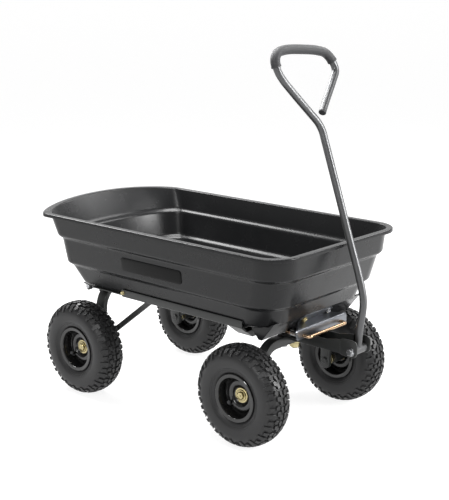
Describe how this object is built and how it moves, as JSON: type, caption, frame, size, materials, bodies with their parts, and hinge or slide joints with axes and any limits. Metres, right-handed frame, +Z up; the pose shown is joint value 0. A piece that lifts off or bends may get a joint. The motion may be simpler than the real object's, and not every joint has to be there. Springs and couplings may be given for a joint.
{
  "type": "garden dump cart",
  "caption": "Four-wheel garden dump cart with a stepped plastic tub, steel frame, steered front axle, pneumatic tyres and a pull handle with a D-shaped loop.",
  "frame": {"origin": "on the ground under the middle of the overall length and width", "axes": "+X towards the pull handle, +Y to the cart's left, +Z up"},
  "size_m": [0.9348, 0.514, 0.9466],
  "materials": {
    "tub_poly": "satin",
    "frame_coat": "satin",
    "tyre_rubber": "matte",
    "rim_coat": "gloss",
    "yellow_zinc": "satin",
    "white_zinc": "satin",
    "galvanised": "satin",
    "copper_rod": "satin",
    "satin_tube": "satin",
    "grip_vinyl": "matte",
    "plate_gloss": "gloss"
  },
  "bodies": {
    "frame": {"right_rail": "frame_coat", "left_rail": "frame_coat", "front_cross_member": "frame_coat", "rear_cross_member": "frame_coat", "rear_axle_arch": "frame_coat", "right_brace": "frame_coat", "left_brace": "frame_coat", "tub_pivot_rod": "white_zinc", "kingpin_bolt": "white_zinc", "kingpin_nut": "yellow_zinc", "rear_right_axle_bolt": "yellow_zinc", "rear_right_axle_nut": "yellow_zinc", "rear_left_axle_bolt": "yellow_zinc", "rear_left_axle_nut": "yellow_zinc"},
    "tub_body": {"tub": "tub_poly", "label_plate": "plate_gloss", "latch_bracket": "galvanised", "right_bracket_bolt": "yellow_zinc", "left_bracket_bolt": "white_zinc", "right_hinge_bracket": "white_zinc", "left_hinge_bracket": "white_zinc", "right_latch_spring": "white_zinc", "left_latch_spring": "white_zinc"},
    "latch": {"latch_rod": "copper_rod"},
    "front_axle": {"front_axle_arch": "frame_coat", "tongue": "frame_coat", "right_tongue_bolt": "white_zinc", "left_tongue_bolt": "white_zinc", "handle_pivot_bolt": "white_zinc", "front_right_axle_bolt": "yellow_zinc", "front_right_axle_nut": "yellow_zinc", "front_left_axle_bolt": "yellow_zinc", "front_left_axle_nut": "yellow_zinc"},
    "handle": {"handle_tube": "satin_tube", "handle_grip": "grip_vinyl", "handle_end_plug": "grip_vinyl"},
    "rear_right_wheel": {"rear_right_tyre": "tyre_rubber", "rear_right_rim_outer": "rim_coat", "rear_right_rim_inner": "rim_coat", "rear_right_hub_tube": "frame_coat", "rear_right_bearing_outer": "white_zinc", "rear_right_bearing_inner": "white_zinc"},
    "rear_left_wheel": {"rear_left_tyre": "tyre_rubber", "rear_left_rim_outer": "rim_coat", "rear_left_rim_inner": "rim_coat", "rear_left_hub_tube": "frame_coat", "rear_left_bearing_outer": "white_zinc", "rear_left_bearing_inner": "white_zinc"},
    "front_right_wheel": {"front_right_tyre": "tyre_rubber", "front_right_rim_outer": "rim_coat", "front_right_rim_inner": "rim_coat", "front_right_hub_tube": "frame_coat", "front_right_bearing_outer": "white_zinc", "front_right_bearing_inner": "white_zinc"},
    "front_left_wheel": {"front_left_tyre": "tyre_rubber", "front_left_rim_outer": "rim_coat", "front_left_rim_inner": "rim_coat", "front_left_hub_tube": "frame_coat", "front_left_bearing_outer": "white_zinc", "front_left_bearing_inner": "white_zinc"}
  },
  "joints": [
    {"name": "tub_dump", "type": "hinge", "parent": "frame", "child": "tub_body", "pos_m": [-0.31742, 0, 0.282], "axis": [0, -1, 0], "range_deg": [0, 80]},
    {"name": "latch_pull", "type": "slide", "parent": "tub_body", "child": "latch", "axis": [1, 0, 0], "range_m": [0, 0.012], "stiffness_N_per_m": 600, "springref_m": -0.01, "deforming": ["right_latch_spring", "left_latch_spring"]},
    {"name": "steering", "type": "hinge", "parent": "frame", "child": "front_axle", "pos_m": [0.25858, 0, 0.23], "axis": [0, 0, 1], "range_deg": [-15, 15]},
    {"name": "handle_swing", "type": "hinge", "parent": "front_axle", "child": "handle", "pos_m": [0.44758, 0, 0.233], "axis": [0, 1, 0], "range_deg": [0, 100]},
    {"name": "rear_right_wheel_spin", "type": "hinge", "parent": "frame", "child": "rear_right_wheel", "pos_m": [-0.29242, -0.215, 0.127], "axis": [0, 1, 0], "continuous": true},
    {"name": "rear_left_wheel_spin", "type": "hinge", "parent": "frame", "child": "rear_left_wheel", "pos_m": [-0.29242, 0.215, 0.127], "axis": [0, 1, 0], "continuous": true},
    {"name": "front_right_wheel_spin", "type": "hinge", "parent": "front_axle", "child": "front_right_wheel", "pos_m": [0.25858, -0.202, 0.127], "axis": [0, 1, 0], "continuous": true},
    {"name": "front_left_wheel_spin", "type": "hinge", "parent": "front_axle", "child": "front_left_wheel", "pos_m": [0.25858, 0.202, 0.127], "axis": [0, 1, 0], "continuous": true}
  ]
}
